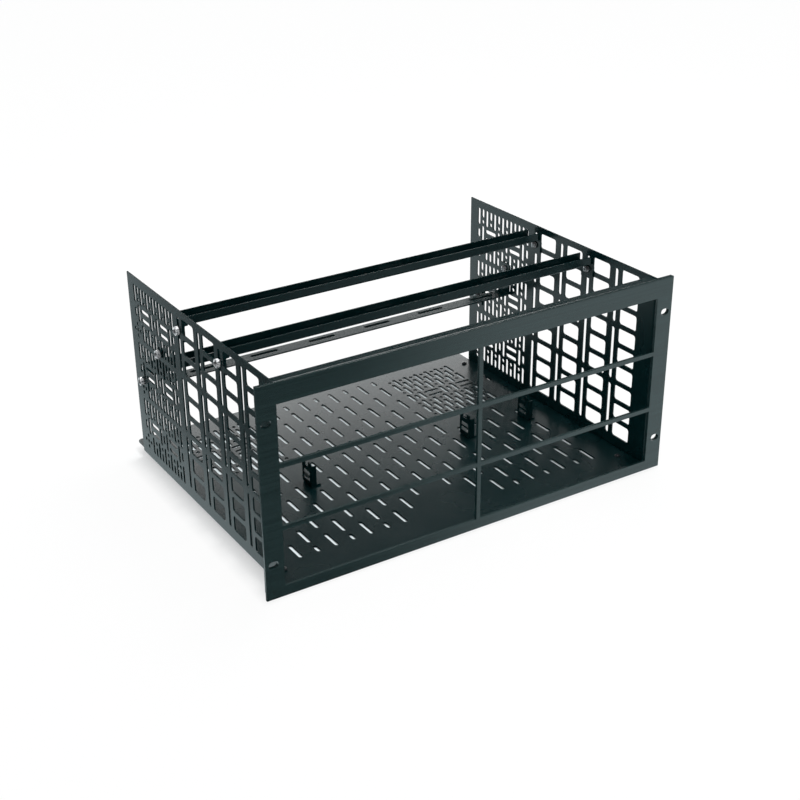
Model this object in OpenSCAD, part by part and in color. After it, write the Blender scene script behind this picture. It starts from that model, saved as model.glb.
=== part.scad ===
// Rack mount shelf for a 19-inch rack, five units high.
// A slotted floor tray hangs between two perforated side panels behind a
// windowed front panel. Channel bars bolted between the sides hold equipment
// down, and slotted stop brackets on the tray keep it from sliding.
// X runs across the shelf, Y from front to rear and Z upwards. Heights start
// at the front panel's bottom edge, and depths at its front face.

/* [Front panel] */
// Width over both rack ears
panel_w = 482.6; // [430:0.1:540]
// Height, five rack units less a fitting gap
panel_h = 221.5; // [198:0.5:260]
// Thickness of the plate
panel_t = 3; // [2:0.1:5]
// Height of the rail below the windows
bottom_rail_h = 11.5; // [9:0.1:20]
// Height of the rail above the windows
top_rail_h = 20.8; // [16:0.1:32]
// Windows side by side
window_columns = 2; // [1:1:4]
// Rows of windows
window_rows = 3; // [1:1:5]
// Width of the upright bars between windows
upright_bar_w = 4.6; // [3:0.1:12]
// Height of the level bars between windows
level_bar_h = 4.6; // [3:0.1:12]
// Width of an ear, from the bay to the panel's outer edge
ear_w = 19.9; // [19:0.1:24]
// Distance of the rack slots from the panel's outer edges
rack_slot_inset = 8.75; // [8.5:0.05:10]
// Distance between rack slots up the panel
rack_pitch_z = 146.05; // [88.9:0.05:180]
// Length of a rack slot
rack_slot_l = 10.3; // [7.5:0.1:12]
// Width of a rack slot
rack_slot_w = 7.1; // [5:0.1:7.4]
// Diameter of the studs on the panel's back
stud_d = 3; // [2:0.1:4]
// Distance of the outer studs from the side panels
stud_margin = 41.4; // [20:0.1:60]
// Studs in each rail
stud_count = 4; // [2:1:4]

/* [Sheet metal] */
// Thickness of the folded sheet
sheet_t = 1.5; // [1:0.1:2]
// Inside radius of the bends
bend_r = 1; // [0.5:0.1:2]
// Width of the relief cut beside a bend
relief_w = 1.5; // [0.8:0.1:3]

/* [Side panels] */
// Height of the underside above the panel's bottom edge
side_lift = 5.7; // [5.2:0.1:9]
// Width of the foot flange that carries the tray
foot_w = 25; // [20:0.5:26]
// Margin between an ear flange and the panel's outer edge
ear_margin = 0.6; // [0.2:0.1:2]
// Extra room round the rack slots in the ear flange
ear_slot_room = 0.5; // [0.2:0.1:1]
// Bands of cut-outs, one above the other
band_count = 3; // [2:1:3]
// Height of the panel that the bands leave over
band_spare = 21.5; // [20:0.1:26]
// Distance between columns of rounded windows
cell_pitch = 46; // [44:0.5:56]
// Depth of a rounded window
cell_w = 27; // [16:0.5:30]
// Bridge between rounded windows, one above the other
cell_bridge = 5.2; // [3:0.1:8]
// Corner radius of a rounded window
cell_r = 3; // [1:0.5:4]
// Front edge of the first rounded window
cell_front = 29.5; // [24:0.5:32]
// Lower edge of the first rounded window
cell_low = 19.8; // [14:0.1:20]
// Width of a long bar slot
bar_slot_w = 5; // [4.5:0.1:6]
// Bridge between long bar slots, one above the other
bar_slot_bridge = 6.3; // [5:0.1:12]
// Distance from a rounded window's rear edge to the long slot
bar_slot_gap = 8.5; // [6:0.1:10]

/* [Vent weave] */
// Distance between neighbouring vent columns
weave_pitch = 7.83; // [7:0.01:7.9]
// Width of a vent slot
weave_w = 4.7; // [4.4:0.1:5]
// Difference between a long and a short vent slot
weave_step = 10; // [9:0.1:11]
// Bridge between rows of the weave
weave_bridge = 0.4; // [0.4:0.1:2]
// Bridge between bands of the weave
weave_band_bridge = 4.4; // [4:0.1:6]
// Distance of a round vent's middle from the end of its column
weave_hole_inset = 4.75; // [4.6:0.05:5.5]
// Distance of the first vent column from a side panel's rear edge
weave_rear = 110.8; // [108:0.1:116]
// Least room between the last long bar slot and the first vent column
weave_room = 12; // [10:0.5:16]
// Lowest vent slot in the side panels
weave_low = 17.2; // [14:0.1:18]
// Diameter of the holes in the fixing pads
pad_hole_d = 4.5; // [4.4:0.1:5]
// Distance from a pad's middle hole to the four round it
pad_hole_r = 6.7; // [6:0.1:7]
// Distance of a pad's middle hole in front of the last vent column
pad_forward = 1.2; // [0:0.1:2]

/* [Floor tray] */
// Depth of the tray from the front face to its rear edge
tray_depth = 355.6; // [320:0.1:400]
// Reach of the tray behind the side panels
tray_overhang = 25.4; // [15:0.1:40]
// Gap between the tray's edge and the bend of a side panel
tray_gap = 0.3; // [0.1:0.1:1]
// Radius of the tray's rear corners
tray_corner_r = 5; // [2:0.5:12]
// Gap between the front lip and the panel's bottom edge
lip_gap = 0.7; // [0.3:0.1:1]
// Distance between neighbouring columns of floor slots
floor_pitch_x = 20.32; // [18:0.02:22]
// Length of a floor slot
floor_slot_l = 26; // [18:0.5:28]
// Width of a floor slot
floor_slot_w = 4.5; // [4.4:0.1:5.5]
// Distance between slots along one column
floor_pitch_y = 39; // [34:0.5:44]
// Least room between the last floor slots and the tray's rear edge
floor_rear_room = 12; // [8:0.5:20]
// Least room between the outer floor slots and the floor screws
floor_side_room = 15; // [12:0.5:20]
// Front end of the first floor slot
floor_front = 38.5; // [36:0.5:44]
// Length of the short slots that finish every other column
floor_end_l = 11.5; // [8:0.5:12]
// Columns each side of the middle that the bare front area reaches
bare_columns = 3; // [0:1:5]
// Distance between neighbouring columns of a vent field
field_pitch = 7.62; // [7.4:0.02:7.8]
// Distance between long slots along the even columns of a vent field
field_course = 33.3; // [32.4:0.1:34]
// Bridge between long slots along the odd columns of a vent field
field_bridge = 3.9; // [3:0.1:5]
// Length of a long slot in a vent field
field_long = 20.5; // [19:0.1:21]
// Length of a short slot in a vent field
field_short = 10.5; // [8:0.1:12]
// Width of the slots in a vent field
field_w = 4.5; // [4:0.1:4.8]
// Distance of a vent field's middle from the floor screws
field_inset = 66.6; // [60:0.1:70]
// Distance of a vent field's middle from the tray's rear edge
field_rear = 82.1; // [72:0.1:90]
// Distance of the floor screws from the inside of a side panel
floor_screw_inset = 13.9; // [12:0.1:16]
// Distance of the front floor screws from the front face
floor_screw_front = 28.75; // [20:0.25:34]
// Distance of the rear floor screws from a side panel's rear edge
floor_screw_rear = 10.2; // [9:0.1:16]
// Distance of the side tie slots from a side panel's rear edge
tie_slot_rear = 61.7; // [50:0.1:80]
// Length of the side tie slots
tie_slot_l = 13; // [8:0.5:20]

/* [Cross member] */
// Depth of the top flange behind the front panel
cross_depth = 10; // [9:0.5:16]
// Height of the flange that lies behind the top rail
cross_h = 18; // [14:0.5:20]
// Drop of the top flange below the panel's top edge
cross_drop = 0.6; // [0.2:0.1:2]

/* [Hold-down bars] */
// Width of a channel bar
bar_w = 19; // [16:0.5:22]
// Height of a channel bar's walls
bar_wall_h = 9.5; // [6:0.5:12]
// Length of the end tabs below the web
bar_tab_l = 17; // [13:0.5:22]
// Distance from the web to a tab's screw hole
bar_hole_drop = 7; // [6:0.5:9]
// Distance that the walls stop short of the side panels
bar_wall_short = 5; // [4.5:0.5:10]
// Columns of long slots in front of the front bar's column
columns_to_front_bar = 1; // [0:1:1]
// Distance from a long slot's top end to the bar's screw
bar_screw_drop = 14.5; // [4:0.5:40]
// Diameter of the screw holes in tabs
tab_hole_d = 4.5; // [4.4:0.1:5]
// Slots along the web of a bar
web_slots = 6; // [2:1:6]
// Width of the bay that the slots of a web leave over
web_spare = 10.8; // [5:0.1:60]
// Length of a slot in a web
web_slot_l = 33.5; // [15:0.5:40]
// Width of a slot in a web
web_slot_w = 5; // [4:0.1:6]
// Columns of vents in front of the support strap's column
columns_to_strap = 5; // [3:2:7]
// Drop from the strap's screws to the top of its web
strap_drop = 29.25; // [20:0.25:35]
// Height of the strap's tabs above their screws
strap_tab_top = 7; // [6:0.5:9]
// Distance of the strap's slots to the right of the middle
strap_slot_shift = 6; // [0:0.5:8]

/* [Stop brackets] */
// Height of a bracket
stop_h = 29; // [26:0.5:36]
// Depth of a bracket
stop_w = 20; // [18:0.5:26]
// Width of a bracket's front return
stop_return_w = 4.5; // [3:0.5:8]
// Drop of the front return below the top of the wall
stop_return_drop = 3.5; // [1:0.5:6]
// Room between a bracket's bend and its washer
stop_screw_room = 0.25; // [0.2:0.05:2]
// Length of a bracket's foot beyond its screw
stop_toe = 5; // [4.5:0.5:12]
// Distance of the screw from the bracket's front edge
stop_screw_y = 10; // [8:0.5:11]
// Length of the slot in a bracket's foot
stop_slot_l = 8.5; // [7:0.5:11]
// Width of the slots in a bracket
stop_slot_w = 4.5; // [4.4:0.1:5]
// Width of the notch in a bracket's top edge
stop_notch_w = 8; // [4:0.5:9]
// Depth of the notch in a bracket's top edge
stop_notch_h = 6; // [4:0.5:7]

// Columns of floor slots from the middle to the left bracket
columns_to_left_stop = 5; // [3:2:7]
// Place of the left bracket's screw along its floor slot
left_stop_along = 4; // [2.5:0.5:23]
// Columns of floor slots from the middle to the centre bracket
columns_to_centre_stop = 5; // [1:2:5]
// Place of the centre bracket's screw along its floor slot
centre_stop_along = 2.5; // [2.5:0.5:23]
// Columns of floor slots from the middle to the right bracket
columns_to_right_stop = 9; // [7:2:9]
// Place of the right bracket's screw along its floor slot
right_stop_along = 2.5; // [2.5:0.5:23]
// Rows of full floor slots in front of the brackets
rows_to_stops = 3; // [2:1:3]

/* [Fasteners] */
// Diameter of the bar and bracket screws
screw_d = 4.2; // [3.6:0.1:4.3]
// Diameter of their pan heads
head_d = 8; // [7:0.1:8.5]
// Height of their pan heads
head_h = 3; // [2:0.1:4]
// Width of their nuts across flats
nut_af = 8.7; // [7:0.1:9]
// Height of their nuts
nut_h = 3.3; // [2.4:0.1:3.6]
// Diameter of the washers
washer_d = 8.5; // [8:0.1:9]
// Thickness of the washers
washer_t = 0.8; // [0.5:0.1:1]
// Length of screw that shows beyond a nut
tip_l = 0.7; // [0.3:0.1:1.5]
// Length of bar screw that shows beyond a nut
bar_tip_l = 2; // [0.5:0.1:4]
// Diameter of the floor screws
small_d = 3; // [2.5:0.1:3.2]
// Diameter of the floor screws' heads
small_head_d = 6; // [5:0.1:7]
// Height of the floor screws' heads
small_head_h = 2; // [1.2:0.1:2.4]
// Width of the floor and stud nuts across flats
small_nut_af = 5.5; // [5:0.1:5.5]
// Height of the floor and stud nuts
small_nut_h = 2.4; // [1.6:0.1:2.6]
// Room round a screw in a plain hole
hole_room = 0.3; // [0.2:0.1:0.6]
// Room between a nut's bore and its screw
bore_room = 0.1; // [0.04:0.02:0.2]

/* [Hidden] */
$fn = 48;

anodised_black = [0.09, 0.11, 0.11];
powder_black = [0.06, 0.07, 0.07];
zinc = [0.72, 0.73, 0.74];

// Length of a cutter that passes through any sheet or plate.
cut_l = panel_t + 4 * sheet_t;
// Small reach of a cutter past the face that it opens.
past = 0.5;

bay_w = panel_w - 2 * ear_w;
side_depth = tray_depth - tray_overhang;
side_in_x = bay_w / 2;
side_out_x = side_in_x + sheet_t;
bend_out_r = bend_r + sheet_t;
panel_back = panel_t;
fold_end = panel_back + bend_out_r;

tray_under_z = side_lift + sheet_t;
tray_top_z = tray_under_z + sheet_t;
tray_half_w = side_in_x - bend_r - tray_gap;
lip_flat_top = tray_under_z - bend_r;

bottom_stud_z = (lip_gap + lip_flat_top) / 2;
top_stud_z = panel_h - top_rail_h / 2;
stud_l = sheet_t + small_nut_h + tip_l;
stud_pitch = (bay_w - 2 * stud_margin) / (stud_count - 1);
stud_xs = [for (i = [0:stud_count - 1]) (i - (stud_count - 1) / 2) * stud_pitch];
stud_places = [for (z = [bottom_stud_z, top_stud_z], x = stud_xs) [x, z]];

window_w = (bay_w - (window_columns - 1) * upright_bar_w) / window_columns;
window_h = (panel_h - bottom_rail_h - top_rail_h - (window_rows - 1) * level_bar_h) / window_rows;

// Cut-outs of the side panels follow the height of one band, and as many
// columns of rounded windows as fit stand in front of the vents.
band_pitch = (panel_h - band_spare) / band_count;
cell_row = band_pitch / 3;
cell_h = cell_row - cell_bridge;
bar_slot_l = band_pitch - bar_slot_bridge;
weave_front = side_depth - weave_rear;
first_bar_slot = cell_front + cell_w + bar_slot_gap;
cell_columns = 1 + floor((weave_front - weave_room - first_bar_slot) / cell_pitch);

weave_columns = 13;
weave_mid = (weave_columns - 1) / 2;
weave_long = (band_pitch - weave_band_bridge - 2 * weave_bridge) / 3;
weave_short = weave_long - weave_step;
weave_row = weave_long + weave_bridge;
pad_y = weave_front + (weave_columns - 1) * weave_pitch - pad_forward;
pad_v = weave_long / 2;

floor_screw_x = side_in_x - floor_screw_inset;
floor_screw_places = [
    for (side = [-1, 1], y = [floor_screw_front, side_depth - floor_screw_rear]) [side * floor_screw_x, y]
];

// Floor slots stop short of the floor screws and the tray's rear edge, and
// give way to a vent field in each rear corner.
floor_columns = floor((floor_screw_x - floor_side_room) / floor_pitch_x);
floor_rows = 1 + floor((tray_depth - floor_rear_room - floor_front - floor_slot_l) / floor_pitch_y);
field_columns = 12;
field_x = floor_screw_x - field_inset;
field_y = tray_depth - field_rear;
field_near = field_long;
field_far = field_near + field_long + field_bridge;
field_front = field_y - field_far - field_long / 2;
field_half_w = ((field_columns - 1) * field_pitch + field_w) / 2;
field_column = ceil((field_x - field_half_w - floor_slot_w) / floor_pitch_x);

function bar_slot_y(column) = first_bar_slot + column * cell_pitch;
function weave_y(column) = weave_front + column * weave_pitch;
function weave_z(band) = weave_low + band * band_pitch;

// Screw places in the side panels, as depth and height.
bar_screw_z = cell_low + (band_count - 1) * band_pitch + bar_slot_l - bar_screw_drop;
front_bar_y = bar_slot_y(columns_to_front_bar);
rear_bar_y = bar_slot_y(cell_columns - 1);
lower_bar_y = pad_y;
lower_bar_z = weave_z(band_count - 2) + pad_v + pad_hole_r;
strap_y = weave_y(columns_to_strap);
strap_z = weave_z(band_count - 1) + weave_w / 2;
bar_screw_places = [
    [front_bar_y, bar_screw_z], [rear_bar_y, bar_screw_z],
    [lower_bar_y, lower_bar_z], [strap_y, strap_z]
];

// Stop brackets: place of the screw across and along the tray, in the slots of
// odd columns, and distance of a bracket's screw from the outside of its wall.
stop_base_y = floor_front + rows_to_stops * floor_pitch_y;
left_stop = [-columns_to_left_stop * floor_pitch_x, stop_base_y + left_stop_along];
centre_stop = [columns_to_centre_stop * floor_pitch_x, stop_base_y + centre_stop_along];
right_stop = [columns_to_right_stop * floor_pitch_x, stop_base_y + right_stop_along];
stop_screw_x = bend_out_r + washer_d / 2 + stop_screw_room;
stops = [left_stop, centre_stop, right_stop];

// Moves a piece drawn from the front face back to the part's own middle.
module from_front() {
    translate([0, -tray_depth / 2, 0]) children();
}

// Slot drawn about its middle, with round ends, along the first axis.
module slot(l, w) {
    square([l - w, w], center = true);
    for (end = [-1, 1]) translate([end * (l - w) / 2, 0]) circle(d = w);
}

// Upright slot that starts at height v.
module upright_slot(l, w, v) {
    translate([0, v + l / 2]) rotate(90) slot(l, w);
}

// Rectangle with round corners, drawn from its lower left corner.
module round_window(w, h, r) {
    translate([r, 0]) square([w - 2 * r, h]);
    translate([0, r]) square([w, h - 2 * r]);
    for (u = [r, w - r], v = [r, h - r]) translate([u, v]) circle(r);
}

// Quarter of a bend, drawn from the bend's centre into the first quadrant.
module bend_quarter() {
    intersection() {
        difference() {
            circle(bend_out_r);
            circle(bend_r);
        }
        square(bend_out_r);
    }
}

// Bent corner with two straight legs. The outer corner is at the origin, the
// legs run along both positive axes, and their lengths are outside lengths.
// A leg as long as the bend's outside radius ends where the bend does.
module bent_legs(a, b) {
    translate([bend_out_r, bend_out_r]) rotate(180) bend_quarter();
    if (a > bend_out_r) translate([bend_out_r, 0]) square([a - bend_out_r, sheet_t]);
    if (b > bend_out_r) translate([0, bend_out_r]) square([sheet_t, b - bend_out_r]);
}

// Row of vent slots in which long slots alternate with a short slot and a hole.
module weave_edge_row(last_column) {
    for (j = [0:last_column]) translate([j * weave_pitch, 0]) {
        if (j % 2 == 0) upright_slot(weave_long, weave_w, 0);
        else {
            upright_slot(weave_short, weave_w, 0);
            translate([0, weave_long - weave_hole_inset]) circle(d = weave_w);
        }
    }
}

// The same row turned end for end.
module weave_edge_row_turned() {
    translate([0, weave_long]) mirror([0, 1]) weave_edge_row(weave_columns - 1);
}

// Middle row, where pairs of level slots sit between upright ones.
module weave_middle_row() {
    level_l = 2 * weave_pitch + weave_w;
    for (j = [0, weave_mid, weave_columns - 1]) translate([j * weave_pitch, 0])
        upright_slot(weave_short, weave_w, (weave_long - weave_short) / 2);
    for (j = [weave_mid / 2, weave_mid * 3 / 2], side = [-2, 2]) translate([(j + side) * weave_pitch, 0])
        upright_slot(weave_long, weave_w, 0);
    for (j = [weave_mid / 2, weave_mid * 3 / 2], v = [1, 3]) translate([j * weave_pitch, weave_long * v / 4])
        slot(level_l, weave_w);
}

// Five holes for fixing a bar near a side panel's rear edge.
module pad_holes() {
    circle(d = pad_hole_d);
    for (turn = [0:90:270]) rotate(turn) translate([pad_hole_r, 0]) circle(d = pad_hole_d);
}

// All cut-outs of a side panel, in depth and height.
module side_cut_outs() {
    for (column = [0:cell_columns - 1], row = [0:3 * band_count - 1])
        translate([cell_front + column * cell_pitch, cell_low + row * cell_row])
            round_window(cell_w, cell_h, cell_r);
    for (column = [0:cell_columns - 1], band = [0:band_count - 1])
        translate([bar_slot_y(column), 0])
            upright_slot(bar_slot_l, bar_slot_w, cell_low + band * band_pitch);
    for (band = [0:band_count - 1]) {
        translate([weave_front, weave_z(band)]) {
            weave_edge_row(weave_columns - 3);
            translate([0, weave_row]) weave_middle_row();
            translate([0, 2 * weave_row]) weave_edge_row_turned();
        }
        translate([pad_y, weave_z(band) + pad_v]) pad_holes();
    }
}

// Right side panel: perforated wall, foot flange turned inwards under the
// tray, and ear flange turned outwards behind the front panel.
module side_panel() {
    foot_start = fold_end + relief_w;
    wall_low = side_lift + bend_out_r;
    translate([side_in_x, 0, 0]) rotate([90, 0, 90]) linear_extrude(sheet_t) difference() {
        translate([fold_end, wall_low]) square([side_depth - fold_end, panel_h - wall_low]);
        side_cut_outs();
    }
    difference() {
        translate([side_out_x, side_depth, side_lift]) rotate([90, 0, 0])
            linear_extrude(side_depth - foot_start)
                mirror([1, 0]) bent_legs(foot_w + sheet_t, bend_out_r);
        for (y = [floor_screw_front, side_depth - floor_screw_rear])
            translate([floor_screw_x, y, side_lift - past])
                cylinder(d = small_d + hole_room, h = cut_l);
        translate([floor_screw_x, side_depth - tie_slot_rear, side_lift - past])
            linear_extrude(sheet_t + 2 * past) rotate(90) slot(tie_slot_l, floor_slot_w);
    }
    difference() {
        translate([side_in_x, panel_back, wall_low]) linear_extrude(panel_h - wall_low)
            bent_legs(panel_w / 2 - ear_margin - side_in_x, bend_out_r);
        rack_slots(ear_slot_room);
    }
}

// Cutters for the rack slots, with extra room on every side.
module rack_slots(room) {
    for (side = [-1, 1], level = [-1, 1])
        translate([
            side * (panel_w / 2 - rack_slot_inset), cut_l - past, panel_h / 2 + level * rack_pitch_z / 2
        ]) rotate([90, 0, 0]) linear_extrude(cut_l) slot(rack_slot_l + 2 * room, rack_slot_w + 2 * room);
}

module front_panel() {
    color(anodised_black) from_front() {
        difference() {
            translate([0, panel_t, 0]) rotate([90, 0, 0]) linear_extrude(panel_t) difference() {
                translate([-panel_w / 2, 0]) square([panel_w, panel_h]);
                for (column = [0:window_columns - 1], row = [0:window_rows - 1])
                    translate([
                        column * (window_w + upright_bar_w) - bay_w / 2,
                        bottom_rail_h + row * (window_h + level_bar_h)
                    ]) square([window_w, window_h]);
            }
            rack_slots(0);
        }
        for (place = stud_places) translate([place[0], panel_back, place[1]])
            rotate([-90, 0, 0]) cylinder(d = stud_d, h = stud_l);
    }
}

// Angle behind the top rail, between the side panels.
module top_cross_member() {
    top_z = panel_h - cross_drop;
    color(powder_black) from_front() difference() {
        translate([-bay_w / 2, panel_back, top_z]) rotate([90, 0, 90]) linear_extrude(bay_w)
            mirror([0, 1]) bent_legs(cross_depth, cross_h);
        for (x = stud_xs) translate([x, panel_back - past, top_stud_z])
            rotate([-90, 0, 0]) cylinder(d = stud_d + hole_room, h = sheet_t + 2 * past);
    }
}

// Slots of one floor column: full slots at every other pitch, and in the even
// columns short slots that finish both ends.
function column_slots(column) =
    column % 2 != 0
    ? [for (i = [0:floor_rows - 1]) [floor_front + i * floor_pitch_y, floor_slot_l]]
    : concat(
        [[floor_front, floor_end_l]],
        [for (i = [0:floor_rows - 2]) [floor_front + (i + 0.5) * floor_pitch_y, floor_slot_l]],
        [[floor_front + (floor_rows - 1) * floor_pitch_y + floor_slot_l - floor_end_l, floor_end_l]]
    );
// The bare front area is a wedge, half a pitch shorter in each column outwards.
function bare_to(column) = floor_front + (bare_columns - abs(column)) * floor_pitch_y / 2 - past;
function in_field(column, end) = abs(column) >= field_column && end > field_front - floor_slot_w;

module floor_slots() {
    for (column = [-floor_columns:floor_columns], place = column_slots(column))
        if (place[0] >= bare_to(column) && !in_field(column, place[0] + place[1]))
            translate([column * floor_pitch_x, 0]) upright_slot(place[1], floor_slot_w, place[0]);
}

// Pair of slots or holes at the same distance before and behind the origin.
module mirrored_pair(y) {
    for (turn = [0, 1]) mirror([0, turn]) translate([0, y]) children();
}

// Vent field in a rear corner of the tray. Odd columns hold two long slots at
// each end, and even ones a long slot between two holes. A band of upright
// slots and pairs of level ones crosses the middle.
module vent_field() {
    translate([field_x - (field_columns - 1) / 2 * field_pitch, field_y])
        for (j = [0:field_columns - 1]) translate([j * field_pitch, 0]) {
            if (j % 2 == 0) {
                mirrored_pair(field_course) rotate(90) slot(field_long, field_w);
                for (course = [0.5, 1.5]) mirrored_pair(course * field_course) circle(d = field_w);
            } else
                for (y = [field_near, field_far]) mirrored_pair(y) rotate(90) slot(field_long, field_w);
            if (j % 6 == 0 || j % 6 == 2) rotate(90) slot(field_long, field_w);
            if (j % 6 == 1) rotate(90) slot(field_short, field_w);
            if (j % 6 == 4) mirrored_pair(field_long / 4) slot(2 * field_pitch + field_w, field_w);
        }
}

module tray_outline() {
    rear = tray_depth - tray_corner_r;
    translate([-tray_half_w, fold_end]) square([2 * tray_half_w, rear - fold_end]);
    translate([tray_corner_r - tray_half_w, rear - past])
        square([2 * (tray_half_w - tray_corner_r), tray_corner_r + past]);
    for (side = [-1, 1]) translate([side * (tray_half_w - tray_corner_r), rear]) circle(tray_corner_r);
}

module floor_tray() {
    color(powder_black) from_front() {
        translate([0, 0, tray_under_z]) linear_extrude(sheet_t) difference() {
            tray_outline();
            floor_slots();
            vent_field();
            mirror([1, 0]) vent_field();
            for (place = floor_screw_places) translate(place) circle(d = small_d + hole_room);
            for (side = [-1, 1])
                translate([side * floor_screw_x, side_depth - tie_slot_rear - tie_slot_l / 2])
                    upright_slot(tie_slot_l, floor_slot_w, 0);
        }
        difference() {
            translate([-tray_half_w, panel_back, tray_top_z]) rotate([90, 0, 90])
                linear_extrude(2 * tray_half_w)
                    mirror([0, 1]) bent_legs(bend_out_r, tray_top_z - lip_gap);
            for (x = stud_xs) translate([x, panel_back - past, bottom_stud_z])
                rotate([-90, 0, 0]) cylinder(d = stud_d + hole_room, h = sheet_t + 2 * past);
        }
    }
}

module right_side_panel() {
    color(powder_black) from_front() side_panel();
}

module left_side_panel() {
    color(powder_black) from_front() mirror([1, 0, 0]) side_panel();
}

// Slots along the web of a bar, about the middle of the shelf.
module web_slots_row() {
    pitch = (bay_w - web_spare) / web_slots;
    for (i = [0:web_slots - 1])
        translate([(i - (web_slots - 1) / 2) * pitch, 0]) slot(web_slot_l, web_slot_w);
}

// End tab of a bar on the right, turned down from the web. Its outer corner is
// on the side panel's inner face, level with the top of the web.
module end_tab(l, hole_z) {
    difference() {
        translate([side_in_x, bar_w / 2, 0]) rotate([90, 0, 0]) linear_extrude(bar_w)
            mirror([1, 0]) mirror([0, 1]) bent_legs(bar_wall_short, l);
        translate([side_in_x - sheet_t - past, 0, -hole_z]) rotate([0, 90, 0])
            cylinder(d = tab_hole_d, h = sheet_t + 2 * past);
    }
}

// Channel bar, open upwards, whose tabs are fixed at the given screw place.
module channel_bar(y, screw_z) {
    half_l = side_in_x - bar_wall_short;
    color(powder_black) from_front() translate([0, y, screw_z + bar_hole_drop]) {
        difference() {
            translate([-half_l, 0, 0]) rotate([90, 0, 90]) linear_extrude(2 * half_l)
                for (turn = [0, 1]) mirror([turn, 0])
                    translate([-bar_w / 2, 0]) bent_legs(bar_w / 2, bar_wall_h);
            translate([0, 0, -past]) linear_extrude(sheet_t + 2 * past) web_slots_row();
        }
        for (turn = [0, 1]) mirror([turn, 0, 0])
            translate([0, 0, sheet_t]) end_tab(bar_tab_l + sheet_t, bar_hole_drop + sheet_t);
    }
}

module front_hold_down_bar() { channel_bar(front_bar_y, bar_screw_z); }

module rear_hold_down_bar() { channel_bar(rear_bar_y, bar_screw_z); }

module lower_hold_down_bar() { channel_bar(lower_bar_y, lower_bar_z); }

// Slotted strap that hangs below its screws: a flat web with a rear flange turned
// down and tall tabs turned up at both ends.
module support_strap() {
    half_l = side_in_x - bar_wall_short;
    color(powder_black) from_front() translate([0, strap_y, strap_z - strap_drop - sheet_t]) {
        difference() {
            translate([-half_l, 0, 0]) rotate([90, 0, 90]) linear_extrude(2 * half_l)
                translate([bar_w / 2, sheet_t]) rotate(180) bent_legs(bar_w, bar_wall_h);
            translate([strap_slot_shift, 0, -past]) linear_extrude(sheet_t + 2 * past)
                web_slots_row();
        }
        for (turn = [0, 1]) mirror([turn, 0, 0]) mirror([0, 0, 1])
            end_tab(sheet_t + strap_drop + strap_tab_top, sheet_t + strap_drop);
    }
}

// Stop bracket about its screw: wall on the left, foot and front return turned
// to the right.
module stop_bracket(stop) {
    rung_l = stop_w - 3 * sheet_t - bend_r;
    rung_y = (stop_w + bend_out_r) / 2;
    wall_z = stop_h - bend_out_r;
    color(powder_black) from_front()
        translate([stop[0] - stop_screw_x, stop[1] - stop_screw_y, tray_top_z]) {
            // Foot and wall, folded along the depth of the bracket.
            difference() {
                translate([0, stop_w, 0]) rotate([90, 0, 0]) linear_extrude(stop_w - bend_out_r)
                    bent_legs(stop_screw_x + stop_toe, stop_h);
                translate([stop_screw_x, stop_screw_y - stop_slot_l / 2, -past])
                    linear_extrude(sheet_t + 2 * past) upright_slot(stop_slot_l, stop_slot_w, 0);
                translate([-past, rung_y, 0]) rotate([90, 0, 90])
                    linear_extrude(sheet_t + 2 * past) {
                        for (v = [1, 2])
                            translate([0, v * wall_z / 4 + bend_out_r]) slot(rung_l, stop_slot_w);
                        translate([0, stop_h - stop_notch_h / 2 + past])
                            square([stop_notch_w, stop_notch_h + 2 * past], center = true);
                    }
            }
            // Front return, folded along the height of the wall.
            translate([0, 0, bend_out_r]) linear_extrude(wall_z - stop_return_drop)
                bent_legs(stop_return_w + sheet_t, bend_out_r);
        }
}

module left_stop_bracket() { stop_bracket(left_stop); }

module centre_stop_bracket() { stop_bracket(centre_stop); }

module right_stop_bracket() { stop_bracket(right_stop); }

// Pan head screw pointing down from the seat of its head at the origin.
module screw(d, head, height, l) {
    cylinder(d = head, h = height);
    translate([0, 0, -l]) cylinder(d = d, h = l);
}

// Hexagon nut or washer standing on the origin.
module nut(d, af, h) {
    difference() {
        cylinder(d = af / cos(30), h = h, $fn = 6);
        translate([0, 0, -past]) cylinder(d = d + bore_room, h = h + 2 * past);
    }
}
module washer(d) {
    difference() {
        cylinder(d = washer_d, h = washer_t);
        translate([0, 0, -past]) cylinder(d = d + hole_room, h = washer_t + 2 * past);
    }
}

// Puts a piece at every bar screw on both sides, its axis out through the
// side panel and its origin at the given distance from the middle.
module at_bar_screws(x) {
    from_front() for (turn = [0, 1], place = bar_screw_places) mirror([turn, 0, 0])
        translate([x, place[0], place[1]]) rotate([0, 90, 0]) children();
}

module at_stop_screws(z) {
    from_front() for (stop = stops) translate([stop[0], stop[1], z]) children();
}

module at_floor_screws(z) {
    from_front() for (place = floor_screw_places) translate([place[0], place[1], z]) children();
}

module bar_screws() {
    color(zinc) at_bar_screws(side_in_x - sheet_t) mirror([0, 0, 1])
        screw(screw_d, head_d, head_h, 2 * sheet_t + washer_t + nut_h + bar_tip_l);
}

module bar_lock_washers() {
    color(zinc) at_bar_screws(side_out_x) washer(screw_d);
}

module bar_nuts() {
    color(zinc) at_bar_screws(side_out_x + washer_t) nut(screw_d, nut_af, nut_h);
}

module bracket_screws() {
    color(zinc) at_stop_screws(tray_top_z + sheet_t + washer_t)
        screw(screw_d, head_d, head_h, washer_t + 2 * sheet_t + nut_h + tip_l);
}

module bracket_washers() {
    color(zinc) at_stop_screws(tray_top_z + sheet_t) washer(screw_d);
}

module bracket_nuts() {
    color(zinc) at_stop_screws(tray_under_z - nut_h) nut(screw_d, nut_af, nut_h);
}

module floor_screws() {
    color(powder_black) at_floor_screws(tray_top_z)
        screw(small_d, small_head_d, small_head_h, 2 * sheet_t + small_nut_h + tip_l);
}

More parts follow.
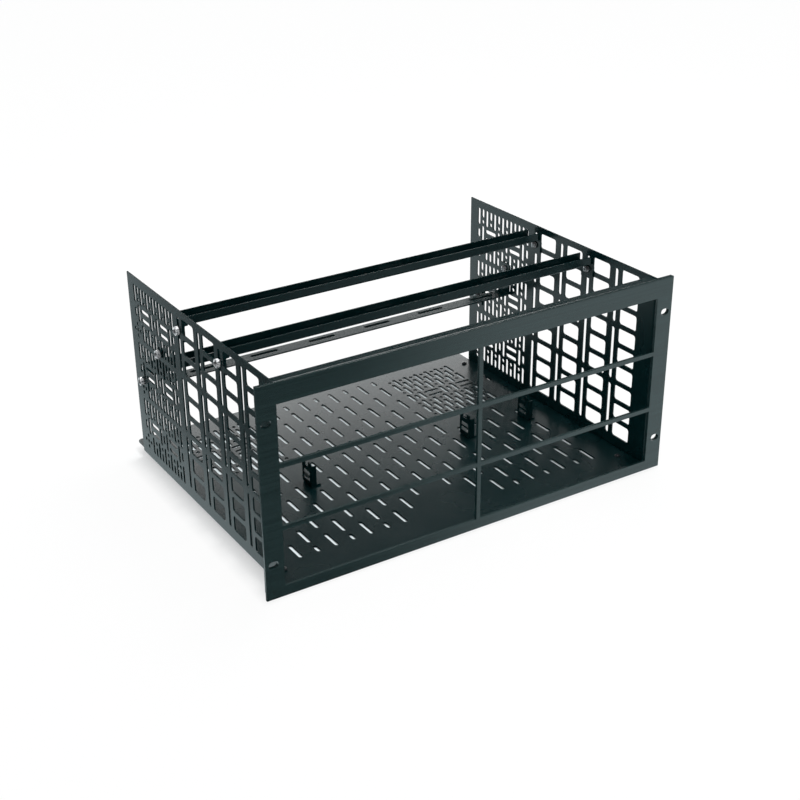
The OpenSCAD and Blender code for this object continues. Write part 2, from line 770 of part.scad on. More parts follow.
module floor_nuts() {
    color(zinc) at_floor_screws(side_lift - small_nut_h) nut(small_d, small_nut_af, small_nut_h);
}

module panel_nuts() {
    color(zinc) from_front() for (place = stud_places)
        translate([place[0], panel_back + sheet_t, place[1]]) rotate([-90, 0, 0])
            nut(stud_d, small_nut_af, small_nut_h);
}

front_panel();
top_cross_member();
floor_tray();
left_side_panel();
right_side_panel();
front_hold_down_bar();
rear_hold_down_bar();
lower_hold_down_bar();
support_strap();
left_stop_bracket();
centre_stop_bracket();
right_stop_bracket();
bar_screws();
bar_lock_washers();
bar_nuts();
bracket_screws();
bracket_washers();
bracket_nuts();
floor_screws();
floor_nuts();
panel_nuts();
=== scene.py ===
# Rack mount shelf, five units high: a brushed front panel with windows, perforated
# sides and tray in black powder coat, bars bolted across the bay and zinc fasteners.
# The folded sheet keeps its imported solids; the plate's eased edges and the fasteners
# are made here.
import math

import bmesh
import bpy
from mathutils import Matrix, Vector


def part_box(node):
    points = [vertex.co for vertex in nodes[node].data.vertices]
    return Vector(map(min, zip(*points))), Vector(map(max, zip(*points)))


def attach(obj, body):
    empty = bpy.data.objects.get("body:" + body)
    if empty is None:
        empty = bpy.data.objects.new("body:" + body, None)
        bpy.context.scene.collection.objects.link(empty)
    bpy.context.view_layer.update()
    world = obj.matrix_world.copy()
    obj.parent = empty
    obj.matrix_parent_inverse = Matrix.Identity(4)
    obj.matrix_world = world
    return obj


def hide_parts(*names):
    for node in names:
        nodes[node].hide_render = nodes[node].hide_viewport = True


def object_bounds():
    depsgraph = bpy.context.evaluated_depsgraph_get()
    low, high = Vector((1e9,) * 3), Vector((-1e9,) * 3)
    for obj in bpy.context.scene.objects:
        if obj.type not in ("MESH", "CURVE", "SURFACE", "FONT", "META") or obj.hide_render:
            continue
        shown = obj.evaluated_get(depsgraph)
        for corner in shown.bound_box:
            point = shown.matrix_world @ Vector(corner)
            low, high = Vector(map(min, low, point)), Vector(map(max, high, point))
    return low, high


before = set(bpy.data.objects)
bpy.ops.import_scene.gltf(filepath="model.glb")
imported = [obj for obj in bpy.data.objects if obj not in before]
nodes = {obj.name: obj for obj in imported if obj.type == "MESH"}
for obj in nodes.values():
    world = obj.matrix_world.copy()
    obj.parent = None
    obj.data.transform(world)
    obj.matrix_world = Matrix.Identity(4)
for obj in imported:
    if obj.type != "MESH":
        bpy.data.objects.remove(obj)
cad_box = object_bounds()
scene = bpy.context.scene
scene.view_settings.view_transform = "Standard"


# Camera. It stands to the left in front of the shelf and looks down into the bay,
# as the photograph does, with the lens and shift that frame it there.
PHOTO_WIDTH = 800
FOCAL_PIXELS = 1384.5
AXIS_PIXEL = (359.6, 398.1)
SENSOR_MM = 36.0
CAMERA_PLACE = (-0.7139, -1.1521, 0.7380)
CAMERA_TURN = (63.930, 1.105, -31.202)

camera_data = bpy.data.cameras.new("photo_camera")
camera_data.sensor_width = SENSOR_MM
camera_data.lens = FOCAL_PIXELS / PHOTO_WIDTH * SENSOR_MM
camera_data.shift_x = (PHOTO_WIDTH / 2 - AXIS_PIXEL[0]) / PHOTO_WIDTH
camera_data.shift_y = (AXIS_PIXEL[1] - PHOTO_WIDTH / 2) / PHOTO_WIDTH
camera = bpy.data.objects.new("photo_camera", camera_data)
camera.location = CAMERA_PLACE
camera.rotation_euler = [math.radians(angle) for angle in CAMERA_TURN]
scene.collection.objects.link(camera)
scene.camera = camera


# Front panel. A thick aluminium plate with six windows cut through it, brushed level
# from ear to ear and anodised black. Its outer edges are eased, so they catch the light.
PANEL_BLACK = (0.0055, 0.0185, 0.019, 1.0)
PANEL_STREAK = (0.0105, 0.0295, 0.030, 1.0)
PANEL_ROUGHNESS = (0.20, 0.26)
PANEL_SPECULAR = 0.77
FINE_BRUSH = (9.0, 900.0, 1500.0)
BROAD_BRUSH = (2.5, 200.0, 600.0)
BRUSH_DETAIL = 3.0
BRUSH_BUMP = (0.25, 0.0002)
STREAK_EDGES = (0.36, 0.64)
EDGE_BREAK = 0.0005
EDGE_STEPS = 3
MERGE = 1e-6
FLAT = math.radians(1)
SHARP = math.radians(35)
X_AXIS, Y_AXIS, Z_AXIS = range(3)


def bare_material(name):
    """A node material with only the output in its tree."""
    material = bpy.data.materials.new(name)
    material.use_nodes = True
    tree = material.node_tree
    tree.nodes.clear()
    return material, tree, tree.nodes.new("ShaderNodeOutputMaterial")


def new_material(name):
    """A node material with its Principled shader."""
    material, tree, output = bare_material(name)
    shader = tree.nodes.new("ShaderNodeBsdfPrincipled")
    tree.links.new(shader.outputs["BSDF"], output.inputs["Surface"])
    return material, tree, shader


def feed(tree, shader, sockets):
    """Links each socket to the shader's input of that name."""
    for label, socket in sockets.items():
        tree.links.new(socket, shader.inputs[label])


def mix_colour(tree, factor, first, second):
    """Mixes two colours by a factor socket and returns the result socket."""
    node = tree.nodes.new("ShaderNodeMix")
    node.data_type = "RGBA"
    tree.links.new(factor, node.inputs["Factor"])
    node.inputs["A"].default_value = first
    node.inputs["B"].default_value = second
    return node.outputs["Result"]


def map_range(tree, value, low, high, start=0.0, end=1.0):
    """Maps a socket from start..end to low..high and returns the result socket."""
    node = tree.nodes.new("ShaderNodeMapRange")
    tree.links.new(value, node.inputs["Value"])
    node.inputs["From Min"].default_value = start
    node.inputs["From Max"].default_value = end
    node.inputs["To Min"].default_value = low
    node.inputs["To Max"].default_value = high
    return node.outputs["Result"]


def bump_normal(tree, height, strength, distance):
    """A normal bumped by a height socket."""
    node = tree.nodes.new("ShaderNodeBump")
    node.inputs["Strength"].default_value = strength
    node.inputs["Distance"].default_value = distance
    tree.links.new(height, node.inputs["Height"])
    return node.outputs["Normal"]


def brush_noise(tree, scale):
    """Noise on Object coordinates, drawn out along the way of the brush."""
    coordinates = tree.nodes.new("ShaderNodeTexCoord")
    stretch = tree.nodes.new("ShaderNodeMapping")
    stretch.inputs["Scale"].default_value = scale
    noise = tree.nodes.new("ShaderNodeTexNoise")
    noise.inputs["Scale"].default_value = 1.0
    noise.inputs["Detail"].default_value = BRUSH_DETAIL
    tree.links.new(coordinates.outputs["Object"], stretch.inputs["Vector"])
    tree.links.new(stretch.outputs["Vector"], noise.inputs["Vector"])
    return noise.outputs["Fac"]


def brushed_anodised():
    """Black anodised plate: long streaks in colour and gloss over fine brush marks."""
    material, tree, shader = new_material("brushed_black_anodised")
    streak = map_range(tree, brush_noise(tree, BROAD_BRUSH), 0.0, 1.0, *STREAK_EDGES)
    feed(tree, shader, {
        "Base Color": mix_colour(tree, streak, PANEL_BLACK, PANEL_STREAK),
        "Roughness": map_range(tree, streak, *PANEL_ROUGHNESS),
        "Normal": bump_normal(tree, brush_noise(tree, FINE_BRUSH), *BRUSH_BUMP),
    })
    shader.inputs["Specular IOR Level"].default_value = PANEL_SPECULAR
    return material


def merged_copy(node):
    """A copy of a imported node's mesh with its loose triangles joined."""
    work = bmesh.new()
    work.from_mesh(nodes[node].data)
    bmesh.ops.remove_doubles(work, verts=work.verts, dist=MERGE)
    return work


def new_object(name, work, material):
    """Makes a finished mesh an object in the scene, with one material."""
    mesh = bpy.data.meshes.new(name)
    work.to_mesh(mesh)
    work.free()
    mesh.materials.append(material)
    made = bpy.data.objects.new(name, mesh)
    scene.collection.objects.link(made)
    return made


def stand_in(work, node, material):
    """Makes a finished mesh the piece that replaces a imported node."""
    piece = new_object(node + "_detail", work, material)
    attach(piece, "root")
    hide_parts(node)
    return piece


def on_outline(vert, corners):
    """Whether a vertex lies on the plate's top, bottom or either end."""
    gaps = [abs(vert.co[axis] - corner[axis]) for axis in (X_AXIS, Z_AXIS) for corner in corners]
    return min(gaps) < MERGE


def eased_plate(node):
    """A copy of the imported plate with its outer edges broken."""
    work = merged_copy(node)
    bmesh.ops.dissolve_limit(work, angle_limit=FLAT, verts=work.verts, edges=work.edges)
    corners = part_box(node)
    rim = []
    for edge in work.edges:
        outer = all(on_outline(vert, corners) for vert in edge.verts)
        if outer and edge.calc_face_angle() > SHARP:
            rim.append(edge)
    bmesh.ops.bevel(
        work, geom=rim, offset=EDGE_BREAK, offset_type="OFFSET", affect="EDGES",
        segments=EDGE_STEPS, profile=0.5, material=-1,
    )
    bmesh.ops.triangulate(work, faces=work.faces)
    return work


stand_in(eased_plate("front_panel"), "front_panel", brushed_anodised())


# Side panels, tray and cross member. Steel sheet, punched and folded, then coated in
# a satin black powder that leaves a fine even grain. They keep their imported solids.
COAT_BLACK = (0.0006, 0.0107, 0.0118, 1.0)
COAT_PALE = (0.0016, 0.0140, 0.0154, 1.0)
COAT_ROUGHNESS = 0.27
ROUGHNESS_SPREAD = 0.04
COAT_SPECULAR = 0.25
COAT_GRAIN = 1400.0
COAT_MOTTLE = 14.0
COAT_BUMP = (0.2, 0.0002)
NOISE_DETAIL = {"Grain": 2.0, "Mottle": 4.0}


def coat_grain_group():
    """Grain of a coat or plating, as a node group: a fine grain and a broad mottle."""
    group = bpy.data.node_groups.new("coat_grain", "ShaderNodeTree")
    for label in NOISE_DETAIL:
        for way, name in (("INPUT", label + " Scale"), ("OUTPUT", label)):
            group.interface.new_socket(name, in_out=way, socket_type="NodeSocketFloat")
    entry = group.nodes.new("NodeGroupInput")
    leave = group.nodes.new("NodeGroupOutput")
    coordinates = group.nodes.new("ShaderNodeTexCoord")
    for label, detail in NOISE_DETAIL.items():
        noise = group.nodes.new("ShaderNodeTexNoise")
        noise.inputs["Detail"].default_value = detail
        group.links.new(coordinates.outputs["Object"], noise.inputs["Vector"])
        group.links.new(entry.outputs[label + " Scale"], noise.inputs["Scale"])
        group.links.new(noise.outputs["Fac"], leave.inputs[label])
    return group


coat_grain = coat_grain_group()


def place_grain(tree, grain_scale, mottle_scale):
    """One use of the grain group in a material; returns its grain and mottle sockets."""
    node = tree.nodes.new("ShaderNodeGroup")
    node.node_tree = coat_grain
    node.inputs["Grain Scale"].default_value = grain_scale
    node.inputs["Mottle Scale"].default_value = mottle_scale
    return node.outputs["Grain"], node.outputs["Mottle"]


def powder_coat(name, dark, pale, roughness):
    """Baked black coat: a faint mottle in colour and gloss over a fine grain."""
    material, tree, shader = new_material(name)
    grain, mottle = place_grain(tree, COAT_GRAIN, COAT_MOTTLE)
    smooth, rough = roughness - ROUGHNESS_SPREAD, roughness + ROUGHNESS_SPREAD
    feed(tree, shader, {
        "Base Color": mix_colour(tree, mottle, dark, pale),
        "Roughness": map_range(tree, mottle, smooth, rough),
        "Normal": bump_normal(tree, grain, *COAT_BUMP),
    })
    shader.inputs["Specular IOR Level"].default_value = COAT_SPECULAR
    return material


def dress(node, material):
    """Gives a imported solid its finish."""
    mesh = nodes[node].data
    mesh.materials.clear()
    mesh.materials.append(material)


satin_black = powder_coat("satin_black_powder", COAT_BLACK, COAT_PALE, COAT_ROUGHNESS)
for folded in ("left_side_panel", "right_side_panel", "floor_tray", "top_cross_member"):
    dress(folded, satin_black)


# Bars, strap and stop brackets. Folded from the same steel sheet, with the same coat,
# and fixed with screws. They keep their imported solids.
for folded in (
    "front_hold_down_bar", "rear_hold_down_bar", "lower_hold_down_bar", "support_strap",
    "left_stop_bracket", "centre_stop_bracket", "right_stop_bracket",
):
    dress(folded, satin_black)


# Bar screws. Steel pan heads inside the bay, zinc plated in a darker gray than the nuts,
# with a cross recess, and a cut thread that comes out through each side panel. They
# stand in for plain cylinders.
ZINC_GRAY = (0.50, 0.50, 0.51, 1.0)
ZINC_DARK = (0.15, 0.15, 0.16, 1.0)
GRAY_METALLIC = (0.5, 0.85)
ZINC_ROUGHNESS = (0.18, 0.38)
ZINC_GRAIN = 2500.0
ZINC_SPANGLE = 420.0
ZINC_BUMP = (0.1, 0.0001)
SPANGLE_EDGES = (0.40, 0.62)
SIDES = 48
PAN_HEAD = 0.003
PAN_CROWN = [
    (0.16, 0.0), (0.36, 0.01), (0.58, 0.03), (0.80, 0.12), (0.94, 0.30), (1.0, 0.55), (1.0, 1.0),
]
CROWN_DROP = 0.25
RECESS_REACH = 0.56
RECESS_ARM = 0.13
RECESS_TAPER = 0.25
RECESS_DEPTH = 0.45
SHANK_SHARE = 0.525
TIP_SHARE = 0.7
THREAD_CORE = 0.84
THREAD_FOOT = 0.98 * THREAD_CORE
THREAD_PITCH = 0.0007
THREAD_TURNS = 6
THREAD_RIDGE = [(THREAD_FOOT, 0.05), (1.0, 0.45), (1.0, 0.55), (THREAD_FOOT, 0.95)]


def zinc_plate(name, pale, dull, metallic):
    """Zinc plating: metal with dull spangles and a little grain."""
    material, tree, shader = new_material(name)
    grain, mottle = place_grain(tree, ZINC_GRAIN, ZINC_SPANGLE)
    spangle = map_range(tree, mottle, 0.0, 1.0, *SPANGLE_EDGES)
    feed(tree, shader, {
        "Base Color": mix_colour(tree, spangle, pale, dull),
        "Roughness": map_range(tree, spangle, *ZINC_ROUGHNESS),
        "Metallic": map_range(tree, spangle, *metallic),
        "Normal": bump_normal(tree, grain, *ZINC_BUMP),
    })
    return material


def solids_of(node):
    """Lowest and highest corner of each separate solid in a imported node."""
    work = merged_copy(node)
    waiting = set(work.verts)
    boxes = []
    for first in work.verts:
        if first not in waiting:
            continue
        waiting.remove(first)
        solid = [first]
        for vert in solid:
            for edge in vert.link_edges:
                other = edge.other_vert(vert)
                if other in waiting:
                    waiting.remove(other)
                    solid.append(other)
        low = Vector([min(vert.co[axis] for vert in solid) for axis in range(3)])
        high = Vector([max(vert.co[axis] for vert in solid) for axis in range(3)])
        boxes.append((low, high))
    work.free()
    return boxes


def wider_way(size, axis):
    """The wider of the two ways across an axis."""
    return max((way for way in range(3) if way != axis), key=lambda way: size[way])


def measure(node, axis):
    """Length along the axis and radius across it of a node's solids, which are all alike."""
    low, high = solids_of(node)[0]
    size = high - low
    return size[axis], size[wider_way(size, axis)] / 2


def stand_on(box, axis, sign):
    """Frame at one end of a solid, its Z along the axis and its X along the wider way across."""
    low, high = box
    across = wider_way(high - low, axis)
    z_way = Vector([sign * (way == axis) for way in range(3)])
    x_way = Vector([1.0 * (way == across) for way in range(3)])
    turn = Matrix((x_way, z_way.cross(x_way), z_way)).transposed().to_4x4()
    turn.translation = (low + high) / 2
    turn.translation[axis] = low[axis] if sign > 0 else high[axis]
    return turn


def spin_profile(work, profile, closed, steps=SIDES):
    """Turns a half profile of radius and height once round the Z axis."""
    verts = [work.verts.new((radius, 0.0, height)) for radius, height in profile]
    following = verts[1:] + verts[:1] if closed else verts[1:]
    edges = [work.edges.new(pair) for pair in zip(verts, following)]
    bmesh.ops.spin(
        work, geom=verts + edges, cent=(0.0, 0.0, 0.0), axis=(0.0, 0.0, 1.0),
        angle=math.tau, steps=steps, use_merge=True,
    )
    bmesh.ops.remove_doubles(work, verts=work.verts, dist=MERGE)
    bmesh.ops.recalc_face_normals(work, faces=work.faces)


def fill_ring(work, geom):
    """Closes the ring that the edges among some geometry make."""
    ring = [part for part in geom if isinstance(part, bmesh.types.BMEdge)]
    bmesh.ops.edgeloop_fill(work, edges=ring)


def cut_thread(work, crest_r, start):
    """Winds a closed ridge round the Z axis from a start height."""
    verts = [
        work.verts.new((crest_r * radius, 0.0, start - part * THREAD_PITCH))
        for radius, part in THREAD_RIDGE
    ]
    edges = [work.edges.new(pair) for pair in zip(verts, verts[1:] + verts[:1])]
    steps = SIDES // 2 * THREAD_TURNS
    wound = bmesh.ops.spin(
        work, geom=verts + edges, cent=(0.0, 0.0, 0.0), axis=(0.0, 0.0, 1.0),
        dvec=(0.0, 0.0, -THREAD_PITCH * THREAD_TURNS / steps),
        angle=math.tau * THREAD_TURNS, steps=steps,
    )
    fill_ring(work, edges)
    fill_ring(work, wound["geom_last"])


def pan_screw(length, head_r, head_h):
    """Pan head screw along Z, from the crown of its head at the origin to its tip."""
    shank_r = head_r * SHANK_SHARE
    core_r = shank_r * THREAD_CORE
    thread_end = length - THREAD_PITCH
    profile = [(0.0, 0.0)] + [(head_r * part, head_h * drop) for part, drop in PAN_CROWN]
    profile += [(core_r, head_h), (core_r, thread_end), (core_r * TIP_SHARE, length), (0.0, length)]
    one = bmesh.new()
    spin_profile(one, profile, False)
    recess = []
    for face in one.faces:
        middle = face.calc_center_median()
        off_arm = min(abs(middle.x), abs(middle.y))
        on_crown = middle.z < head_h * CROWN_DROP and middle.xy.length < head_r * RECESS_REACH
        if on_crown and off_arm < head_r * RECESS_ARM:
            recess.append(face)
    bmesh.ops.inset_region(
        one, faces=recess, thickness=head_r * RECESS_ARM * RECESS_TAPER,
        depth=-head_h * RECESS_DEPTH, use_even_offset=True,
    )
    cut_thread(one, shank_r, thread_end)
    bmesh.ops.recalc_face_normals(one, faces=one.faces)
    return one


def outward(box):
    """Sign of the side of the shelf that a solid stands on."""
    return 1 if box[0].x + box[1].x > 0 else -1


def set_copies(one, node, axis, way, material):
    """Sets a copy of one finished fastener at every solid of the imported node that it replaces."""
    pattern = bpy.data.meshes.new(node + "_pattern")
    one.to_mesh(pattern)
    one.free()
    work = bmesh.new()
    for box in solids_of(node):
        before = len(work.verts)
        work.from_mesh(pattern)
        work.verts.ensure_lookup_table()
        bmesh.ops.transform(
            work, matrix=stand_on(box, axis, way(box)), verts=work.verts[before:],
        )
    bpy.data.meshes.remove(pattern)
    piece = stand_in(work, node, material)
    piece.data.shade_smooth()
    piece.data.set_sharp_from_angle(angle=SHARP)


gray_zinc = zinc_plate("gray_zinc_plate", ZINC_GRAY, ZINC_DARK, GRAY_METALLIC)
bar_screw = pan_screw(*measure("bar_screws", X_AXIS), PAN_HEAD)
set_copies(bar_screw, "bar_screws", X_AXIS, outward, gray_zinc)


# Bar lock washers. Toothed rings of spring steel, zinc plated, whose teeth are twisted
# so that they bite. One lies under each nut outside the side panels.
ZINC_BRIGHT = (0.95, 0.95, 0.95, 1.0)
ZINC_DULL = (0.34, 0.35, 0.37, 1.0)
BRIGHT_METALLIC = (0.15, 0.6)
WASHER_BORE = 0.0022
WASHER_BAND = (0.15, 0.85)
TOOTH_ROOT = 0.74
TOOTH_REACH = 0.98
TOOTH_EVERY = 3
TOOTH_TWIST = math.radians(14)
NEAR_RIM = 0.98


def toothed_washer(thick, outer_r):
    """Ring on the XY plane with a twisted tooth on every third side."""
    root_r = outer_r * TOOTH_ROOT
    low, high = [thick * part for part in WASHER_BAND]
    one = bmesh.new()
    band = [(WASHER_BORE, low), (root_r, low), (root_r, high), (WASHER_BORE, high)]
    spin_profile(one, band, True)
    rim = [face for face in one.faces if face.calc_center_median().xy.length > root_r * NEAR_RIM]
    rim.sort(key=lambda face: math.atan2(face.calc_center_median().y, face.calc_center_median().x))
    for face in bmesh.ops.extrude_discrete_faces(one, faces=rim[::TOOTH_EVERY])["faces"]:
        middle = face.calc_center_median()
        out = Vector((middle.x, middle.y, 0.0)).normalized()
        twist = Matrix.Rotation(TOOTH_TWIST, 3, out)
        bmesh.ops.translate(one, vec=out * (outer_r - root_r) * TOOTH_REACH, verts=face.verts)
        bmesh.ops.rotate(one, cent=middle, matrix=twist, verts=face.verts)
    return one


bright_zinc = zinc_plate("bright_zinc_plate", ZINC_BRIGHT, ZINC_DULL, BRIGHT_METALLIC)
lock_washer = toothed_washer(*measure("bar_lock_washers", X_AXIS))
set_copies(lock_washer, "bar_lock_washers", X_AXIS, outward, bright_zinc)


# Nuts. Zinc plated hexagon nuts with chamfered corners, on the bar screws, under the
# tray and on the studs of the front panel. They stand in for plain hexagons.
NUT_FLATS = 6
NUT_FACE = 0.96
NUT_BORE = 0.5
NUT_SINK = 0.12
NUT_CHAMFER = math.tan(math.radians(30))


def hex_nut(height, corner_r):
    """Hexagon nut turned as a chamfered ring about Z, then cut to its six flats."""
    flat_r = corner_r * math.cos(math.pi / NUT_FLATS)
    face_r = flat_r * NUT_FACE
    bore_r = flat_r * NUT_BORE
    sink = height * NUT_SINK
    dip = (corner_r - face_r) * NUT_CHAMFER
    half = [(bore_r, sink), (bore_r + sink, 0.0), (face_r, 0.0), (corner_r, dip)]
    one = bmesh.new()
    spin_profile(one, half + [(radius, height - lift) for radius, lift in reversed(half)], True)
    for flat in range(NUT_FLATS):
        angle = math.tau / NUT_FLATS * (flat + 0.5)
        way = Vector((math.cos(angle), math.sin(angle), 0.0))
        cut = bmesh.ops.bisect_plane(
            one, geom=one.verts[:] + one.edges[:] + one.faces[:], plane_co=way * flat_r,
            plane_no=way, clear_outer=True,
        )
        fill_ring(one, cut["geom_cut"])
    bmesh.ops.dissolve_degenerate(one, dist=MERGE, edges=one.edges)
    bmesh.ops.recalc_face_normals(one, faces=one.faces)
    return one


def upward(box):
    """Sign for a solid that is built up from its lower or nearer end."""
    return 1


for nut_node, axis, way in (
    ("bar_nuts", X_AXIS, outward), ("bracket_nuts", Z_AXIS, upward),
    ("floor_nuts", Z_AXIS, upward), ("panel_nuts", Y_AXIS, upward),
):
    set_copies(hex_nut(*measure(nut_node, axis)), nut_node, axis, way, bright_zinc)


# Tray screws and their washers. Black oxide steel: pan heads that hold the stop
# brackets and the tray, with flat washers on the brackets.
OXIDE_BLACK = (0.010, 0.012, 0.014, 1.0)
OXIDE_PALE = (0.028, 0.031, 0.034, 1.0)
OXIDE_ROUGHNESS = 0.3
TRAY_HEAD = 0.002


def downward(box):
    """Sign for a solid that is built down from its upper end."""
    return -1


black_oxide = powder_coat("black_oxide", OXIDE_BLACK, OXIDE_PALE, OXIDE_ROUGHNESS)
for screw_node, head_h in (("bracket_screws", PAN_HEAD), ("floor_screws", TRAY_HEAD)):
    screw = pan_screw(*measure(screw_node, Z_AXIS), head_h)
    set_copies(screw, screw_node, Z_AXIS, downward, black_oxide)
dress("bracket_washers", black_oxide)


# Floor and backdrop. A round white cyclorama, its floor rising through a cove into a
# wall. It is white to the camera and keeps the shelf's shadow. In reflections it shows
# painted light round the shelf and painted shade to the left and in front, tinted blue.
FLOOR_R = 5.5
COVE_R = 0.6
COVE_STEPS = 8
WALL_H = 2.4
STUDIO_STEPS = 96
FOOTPRINT = (0.236, 0.172)
FOOTPRINT_EDGE = 0.012
WHITE_SHARE = 0.94
UNDER_SHARE = 0.42
# The table's painted light and shade, which only reflections show.
TABLE_FADE = (-0.30, 0.02)
TABLE_PAINTED_LIGHT = (0.10, 0.92)
TABLE_TURN = (0.6, 0.45)
TABLE_END = (0.9, 1.6)
FOOT_SIDE = (-0.33, -0.25)
FOOT_FRONT = (-0.19, -0.13)
FOOT_PAINTED_LIGHT = 1.15
REAR_GAIN = 1.4
REAR_ZONE = (0.15, 0.42)
MATT_WHITE = (0.85, 0.85, 0.85, 1.0)
FULL_WHITE = (1.0, 1.0, 1.0, 1.0)
# A painted blue tint on the table's reflections.
PAINTED_REFLECTION_TINT = (0.83, 0.97, 1.0, 1.0)


def math_node(tree, operation, first, second):
    """A maths node on two sockets or values; returns its result socket."""
    node = tree.nodes.new("ShaderNodeMath")
    node.operation = operation
    for index, value in enumerate((first, second)):
        if isinstance(value, (int, float)):
            node.inputs[index].default_value = value
        else:
            tree.links.new(value, node.inputs[index])
    return node.outputs["Value"]


def shown_white(tree):
    """Share of white that the floor shows: nearly full away from the shelf, less under it."""
    coordinates = tree.nodes.new("ShaderNodeTexCoord")
    split = tree.nodes.new("ShaderNodeSeparateXYZ")
    tree.links.new(coordinates.outputs["Object"], split.inputs["Vector"])
    past = []
    for way, half in zip(("X", "Y"), FOOTPRINT):
        from_middle = math_node(tree, "ABSOLUTE", split.outputs[way], 0.0)
        past.append(math_node(tree, "SUBTRACT", from_middle, half))
    outside = math_node(tree, "MAXIMUM", *past)
    return map_range(tree, outside, UNDER_SHARE, WHITE_SHARE, -FOOTPRINT_EDGE, FOOTPRINT_EDGE)


def painted_table_light(tree):
    """Painted light and shade of the table in reflections: lit round the shelf, dim to the left and
    in front.
    """
    coordinates = tree.nodes.new("ShaderNodeTexCoord")
    split = tree.nodes.new("ShaderNodeSeparateXYZ")
    away = tree.nodes.new("ShaderNodeVectorMath")
    away.operation = "LENGTH"
    for node in (split, away):
        tree.links.new(coordinates.outputs["Object"], node.inputs[0])
    across, back = split.outputs["X"], split.outputs["Y"]
    along = across
    for part, share in zip(("MINIMUM", "MAXIMUM"), TABLE_TURN):
        stretch = math_node(tree, "MULTIPLY", math_node(tree, part, back, 0.0), share)
        along = math_node(tree, "ADD", along, stretch)
    lit = map_range(tree, along, *TABLE_PAINTED_LIGHT, *TABLE_FADE)
    beside = map_range(tree, across, 0.0, FOOT_PAINTED_LIGHT, *FOOT_SIDE)
    behind = map_range(tree, back, 0.0, 1.0, *FOOT_FRONT)
    near = map_range(tree, away.outputs["Value"], 1.0, 0.0, *TABLE_END)
    rear = map_range(tree, back, 1.0, REAR_GAIN, *REAR_ZONE)
    for result in (lit, beside, behind, near, rear):
        result.node.interpolation_type = "SMOOTHSTEP"
    foot = math_node(tree, "MULTIPLY", beside, behind)
    shine = math_node(tree, "MULTIPLY", math_node(tree, "MAXIMUM", lit, foot), near)
    return math_node(tree, "MULTIPLY", shine, rear)


def cyclorama_white():
    """Matt white that shows itself white to the camera, and to gloss a painted light and shade."""
    material, tree, output = bare_material("cyclorama_white")
    matt = tree.nodes.new("ShaderNodeBsdfDiffuse")
    matt.inputs["Color"].default_value = MATT_WHITE
    rays = tree.nodes.new("ShaderNodeLightPath").outputs
    camera_ray = rays["Is Camera Ray"]
    bounced = math_node(tree, "MAXIMUM", rays["Is Glossy Ray"], rays["Is Transmission Ray"])
    shown = math_node(tree, "MULTIPLY", camera_ray, shown_white(tree))
    # Gloss sees the table's painted light and shade, in a painted blue tint.
    gloss = math_node(tree, "MULTIPLY", bounced, painted_table_light(tree))
    glow = tree.nodes.new("ShaderNodeEmission")
    feed(tree, glow, {
        "Color": mix_colour(tree, bounced, FULL_WHITE, PAINTED_REFLECTION_TINT),
        "Strength": math_node(tree, "ADD", camera_ray, gloss),
    })
    blend = tree.nodes.new("ShaderNodeMixShader")
    tree.links.new(math_node(tree, "ADD", shown, bounced), blend.inputs["Fac"])
    tree.links.new(matt.outputs["BSDF"], blend.inputs[1])
    tree.links.new(glow.outputs["Emission"], blend.inputs[2])
    tree.links.new(blend.outputs["Shader"], output.inputs["Surface"])
    return material


studio_profile = [(0.0, 0.0)]
for step in range(COVE_STEPS + 1):
    turn = math.pi / 2 * step / COVE_STEPS
    studio_profile.append((FLOOR_R + COVE_R * math.sin(turn), COVE_R * (1.0 - math.cos(turn))))
studio_profile.append((FLOOR_R + COVE_R, WALL_H))
studio_work = bmesh.new()
spin_profile(studio_work, studio_profile, False, STUDIO_STEPS)
cyclorama = new_object("cyclorama", studio_work, cyclorama_white())
cyclorama.data.shade_smooth()
cyclorama.location.z = cad_box[0][2]


# Room and lamps. A bright room that gloss hardly shows, a strip of light low behind the
# shelf for the tray's sheen, and a soft key from above on the right.
ROOM_COLOUR = (0.96, 0.99, 1.0, 1.0)
ROOM_LIGHT = 0.95
ROOM_GLOSS = 0.06
STRIP_PLACE = (0.75, 0.78, 0.205)
STRIP_AIM = (0.75, 0.0, 0.205)
STRIP_SIZE = (1.5, 0.41)
STRIP_WATTS = 6.8
KEY_PLACE = (0.9, 0.3, 2.0)
KEY_AIM = (0.0, 0.0, 0.05)
KEY_SIZE = (0.9, 0.9)
KEY_WATTS = 26.0

world = bpy.data.worlds.new("dim_room")
scene.world = world
world.use_nodes = True
room_tree = world.node_tree
room = room_tree.nodes["Background"]
room.inputs["Color"].default_value = ROOM_COLOUR
gloss_ray = room_tree.nodes.new("ShaderNodeLightPath").outputs["Is Glossy Ray"]
feed(room_tree, room, {"Strength": map_range(room_tree, gloss_ray, ROOM_LIGHT, ROOM_GLOSS)})


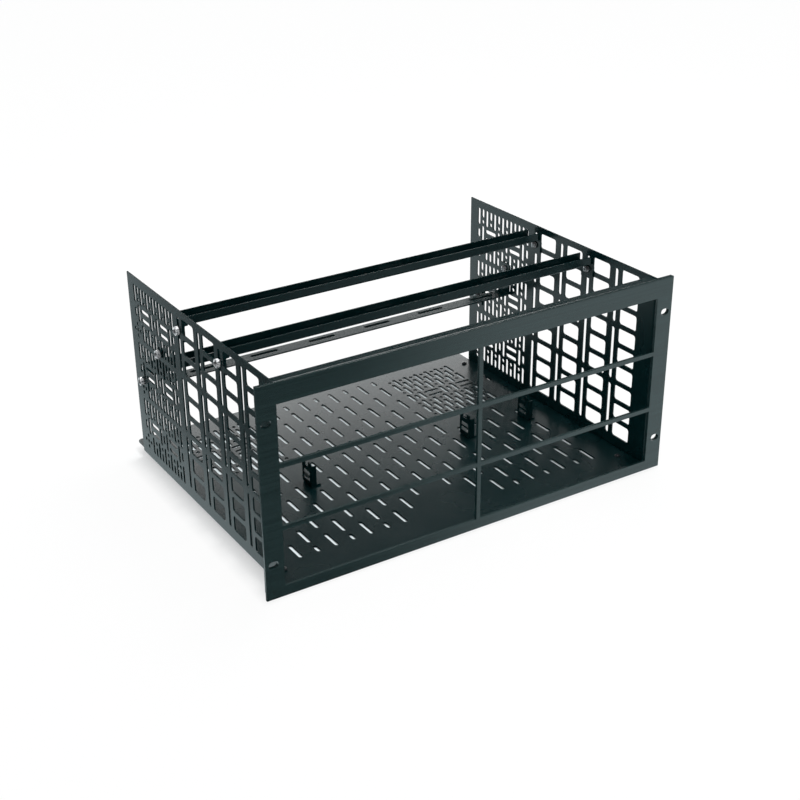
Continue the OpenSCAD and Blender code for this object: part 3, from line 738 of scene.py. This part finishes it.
def soft_box(name, place, aim, size, watts):
    """A rectangular soft light that faces the aim point and is hidden from the camera."""
    data = bpy.data.lights.new(name, "AREA")
    data.shape = "RECTANGLE"
    data.size, data.size_y = size
    data.energy = watts
    lamp = bpy.data.objects.new(name, data)
    lamp.location = place
    lamp.rotation_euler = (Vector(aim) - Vector(place)).to_track_quat("-Z", "Y").to_euler()
    lamp.visible_camera = False
    scene.collection.objects.link(lamp)
    return lamp


soft_box("rear_strip", STRIP_PLACE, STRIP_AIM, STRIP_SIZE, STRIP_WATTS)
soft_box("key_right", KEY_PLACE, KEY_AIM, KEY_SIZE, KEY_WATTS)


# Light through the floor slots. A matt gray card lies under the tray, its gray a painted
# shade of the table there, and a lamp that lights nothing else throws the slots on it
# from above the camera, shaded by the tray alone, so that each slot shows a dark and a
# bright edge.
CARD_HALF = (0.212, 0.171)
CARD_LIFT = 0.0003
CARD_SHADE_GRAY = (0.25, 0.275, 0.283, 1.0)
SLOT_PLACE = (-0.706, -1.139, 0.87)
SLOT_AIM = (0.0, 0.0, 0.0)
SLOT_SIZE = (0.10, 0.10)
SLOT_WATTS = 105.0


def link_group(name, member):
    """A collection of one object, for a lamp's links."""
    group = bpy.data.collections.new(name)
    group.objects.link(member)
    return group


card_work = bmesh.new()
bmesh.ops.create_grid(card_work, x_segments=1, y_segments=1, size=1.0)
bmesh.ops.scale(card_work, vec=(*CARD_HALF, 1.0), verts=card_work.verts)
bmesh.ops.translate(card_work, vec=(0.0, 0.0, cad_box[0][2] + CARD_LIFT), verts=card_work.verts)
# The card's gray is painted shade; the light on it through the slots is real.
shade_card_gray, _, card_shader = new_material("shade_card_gray")
card_shader.inputs["Base Color"].default_value = CARD_SHADE_GRAY
card_shader.inputs["Roughness"].default_value = 1.0
card_shader.inputs["Specular IOR Level"].default_value = 0.0
slot_card = new_object("slot_card", card_work, shade_card_gray)
slot_lamp = soft_box("slot_lamp", SLOT_PLACE, SLOT_AIM, SLOT_SIZE, SLOT_WATTS)
slot_lamp.light_linking.receiver_collection = link_group("card_only", slot_card)
slot_lamp.light_linking.blocker_collection = link_group("tray_only", nodes["floor_tray"])
